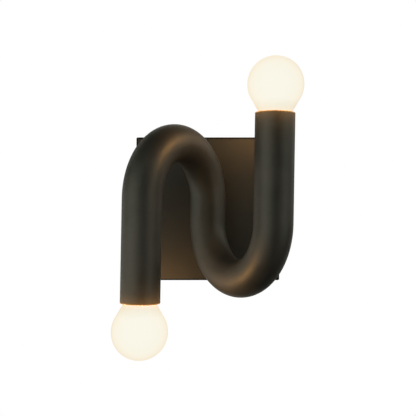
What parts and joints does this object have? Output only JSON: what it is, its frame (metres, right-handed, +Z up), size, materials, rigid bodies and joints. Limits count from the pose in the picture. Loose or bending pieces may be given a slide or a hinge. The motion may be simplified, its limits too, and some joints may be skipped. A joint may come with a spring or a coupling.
{
  "type": "wall light",
  "caption": "Wall light: a bronze tube in swung U-bends stands before a square wall plate and holds opal globe bulbs in its open ends, facing up and down.",
  "frame": {"origin": "centre of the mounting strap's slots on the wall plane", "axes": "+Z up, +Y into the wall, +X to the right seen from the front; the light faces -Y"},
  "size_m": [0.1724, 0.16, 0.272],
  "materials": {
    "tube_bronze": "satin dark bronze",
    "plate_bronze": "satin brown bronze",
    "dark_screw": "blackened",
    "green_screw": "green dyed zinc",
    "zinc_steel": "bright zinc plate",
    "phenolic": "moulded phenolic",
    "brass": "rolled",
    "black_insulation": "smooth",
    "white_insulation": "smooth",
    "connector_plastic": "fluted",
    "opal_glass": "opal, lit",
    "clear_glass": "clear",
    "phosphor": "phosphor coating",
    "nickel_cap": "nickel plate",
    "black_glass": "fused black glass",
    "solder_tip": "solder"
  },
  "bodies": {
    "fixture": {"black_lead_lower": "black_insulation", "black_lead_upper": "black_insulation", "carrier_disc_lower": "zinc_steel", "carrier_disc_upper": "zinc_steel", "centre_contact_lower": "brass", "centre_contact_upper": "brass", "centre_nipple": "zinc_steel", "ground_screw": "green_screw", "holder_nipple_lower": "zinc_steel", "holder_nipple_upper": "zinc_steel", "holder_nut_lower": "zinc_steel", "holder_nut_upper": "zinc_steel", "mounting_strap": "zinc_steel", "nipple_nut": "zinc_steel", "screw_shell_lower": "brass", "screw_shell_upper": "brass", "serpentine_tube": "tube_bronze", "side_screws": "dark_screw", "socket_body_lower": "phenolic", "socket_body_upper": "phenolic", "socket_yoke_lower": "zinc_steel", "socket_yoke_upper": "zinc_steel", "tooth_washer": "zinc_steel", "tube_boss": "tube_bronze", "wall_plate": "plate_bronze", "white_lead_lower": "white_insulation", "white_lead_upper": "white_insulation", "wire_connectors": "connector_plastic", "yoke_screws_lower": "zinc_steel", "yoke_screws_upper": "zinc_steel"},
    "upper_bulb_core": {"bulb_insulator_upper": "black_glass", "bulb_tip_upper": "solder_tip"},
    "upper_bulb": {"bulb_globe_upper": "opal_glass", "bulb_cap_upper": "nickel_cap", "bulb_stem_upper": "clear_glass", "bulb_filaments_upper": "phosphor"},
    "lower_bulb_core": {"bulb_insulator_lower": "black_glass", "bulb_tip_lower": "solder_tip"},
    "lower_bulb": {"bulb_globe_lower": "opal_glass", "bulb_cap_lower": "nickel_cap", "bulb_stem_lower": "clear_glass", "bulb_filaments_lower": "phosphor"}
  },
  "joints": [
    {"name": "upper_bulb_lift", "type": "slide", "parent": "fixture", "child": "upper_bulb_core", "axis": [0.0175, 0, 0.9998], "range_m": [0, 0.01016]},
    {"name": "upper_bulb_turn", "type": "hinge", "parent": "upper_bulb_core", "child": "upper_bulb", "pos_m": [0.06031, -0.13458, 0.08496], "axis": [0.0175, 0, 0.9998], "range_deg": [0, 1440]},
    {"name": "lower_bulb_lift", "type": "slide", "parent": "fixture", "child": "lower_bulb_core", "axis": [-0.0175, 0, -0.9998], "range_m": [0, 0.01016]},
    {"name": "lower_bulb_turn", "type": "hinge", "parent": "lower_bulb_core", "child": "lower_bulb", "pos_m": [-0.06031, -0.13458, -0.08496], "axis": [-0.0175, 0, -0.9998], "range_deg": [0, 1440]}
  ],
  "couplings": [
    {"joint": "upper_bulb_lift", "follows": "upper_bulb_turn", "m_per_rad": 0.00040425},
    {"joint": "lower_bulb_lift", "follows": "lower_bulb_turn", "m_per_rad": 0.00040425}
  ]
}
